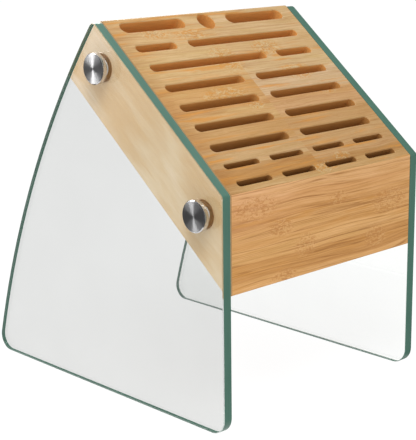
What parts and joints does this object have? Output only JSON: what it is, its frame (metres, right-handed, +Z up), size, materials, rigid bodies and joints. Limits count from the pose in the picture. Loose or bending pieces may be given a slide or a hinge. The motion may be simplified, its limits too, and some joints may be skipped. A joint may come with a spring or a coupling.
{
  "type": "knife block",
  "caption": "Sloping bamboo knife block with round-ended slots and a honing steel hole, held between two clear glass side panels by steel cap screws.",
  "frame": {"origin": "on the surface the block stands on, under the middle of the whole object's box", "axes": "+X to the block's right seen from its low front, +Y to its back, +Z up; the top face rises towards +Y"},
  "size_m": [0.1694, 0.207, 0.2152],
  "materials": {
    "side_glass": "polished",
    "bamboo_top": "satin oiled bamboo",
    "bamboo_core": "satin oiled bamboo",
    "bamboo_front": "satin oiled bamboo",
    "cap_steel": "turned face, radially brushed",
    "stud_steel": "bright zinc",
    "clear_plastic": "translucent",
    "white_nylon": "natural nylon",
    "insert_brass": "machined"
  },
  "bodies": {
    "block": {"glass_panel_left": "side_glass", "glass_panel_right": "side_glass", "top_board": "bamboo_top", "front_board": "bamboo_front", "core_bars": "bamboo_core", "core_spacers": "bamboo_core", "core_stile_left": "bamboo_core", "core_stile_right": "bamboo_core", "core_steel_block": "bamboo_core", "sleeve_left_upper": "white_nylon", "gasket_left_upper": "clear_plastic", "insert_left_upper": "insert_brass", "sleeve_left_lower": "white_nylon", "gasket_left_lower": "clear_plastic", "insert_left_lower": "insert_brass", "sleeve_right_upper": "white_nylon", "gasket_right_upper": "clear_plastic", "insert_right_upper": "insert_brass", "sleeve_right_lower": "white_nylon", "gasket_right_lower": "clear_plastic", "insert_right_lower": "insert_brass"},
    "carrier_left_upper": {"washer_left_upper": "clear_plastic"},
    "screw_left_upper": {"cap_left_upper": "cap_steel", "stud_left_upper": "stud_steel"},
    "carrier_left_lower": {"washer_left_lower": "clear_plastic"},
    "screw_left_lower": {"cap_left_lower": "cap_steel", "stud_left_lower": "stud_steel"},
    "carrier_right_upper": {"washer_right_upper": "clear_plastic"},
    "screw_right_upper": {"cap_right_upper": "cap_steel", "stud_right_upper": "stud_steel"},
    "carrier_right_lower": {"washer_right_lower": "clear_plastic"},
    "screw_right_lower": {"cap_right_lower": "cap_steel", "stud_right_lower": "stud_steel"}
  },
  "joints": [
    {"name": "lift_left_upper", "type": "slide", "parent": "block", "child": "carrier_left_upper", "axis": [-1, 0, 0], "range_m": [0, 0.007]},
    {"name": "unscrew_left_upper", "type": "hinge", "parent": "carrier_left_upper", "child": "screw_left_upper", "pos_m": [-0.0745, -0.00573, 0.18993], "axis": [-1, 0, 0], "range_deg": [0, 2520]},
    {"name": "lift_left_lower", "type": "slide", "parent": "block", "child": "carrier_left_lower", "axis": [-1, 0, 0], "range_m": [0, 0.007]},
    {"name": "unscrew_left_lower", "type": "hinge", "parent": "carrier_left_lower", "child": "screw_left_lower", "pos_m": [-0.0745, -0.08547, 0.11939], "axis": [-1, 0, 0], "range_deg": [0, 2520]},
    {"name": "lift_right_upper", "type": "slide", "parent": "block", "child": "carrier_right_upper", "axis": [1, 0, 0], "range_m": [0, 0.007]},
    {"name": "unscrew_right_upper", "type": "hinge", "parent": "carrier_right_upper", "child": "screw_right_upper", "pos_m": [0.0745, -0.00573, 0.18993], "axis": [1, 0, 0], "range_deg": [0, 2520]},
    {"name": "lift_right_lower", "type": "slide", "parent": "block", "child": "carrier_right_lower", "axis": [1, 0, 0], "range_m": [0, 0.007]},
    {"name": "unscrew_right_lower", "type": "hinge", "parent": "carrier_right_lower", "child": "screw_right_lower", "pos_m": [0.0745, -0.08547, 0.11939], "axis": [1, 0, 0], "range_deg": [0, 2520]}
  ],
  "couplings": [
    {"joint": "lift_left_upper", "follows": "unscrew_left_upper", "m_per_rad": 0.00015915},
    {"joint": "lift_left_lower", "follows": "unscrew_left_lower", "m_per_rad": 0.00015915},
    {"joint": "lift_right_upper", "follows": "unscrew_right_upper", "m_per_rad": 0.00015915},
    {"joint": "lift_right_lower", "follows": "unscrew_right_lower", "m_per_rad": 0.00015915}
  ]
}
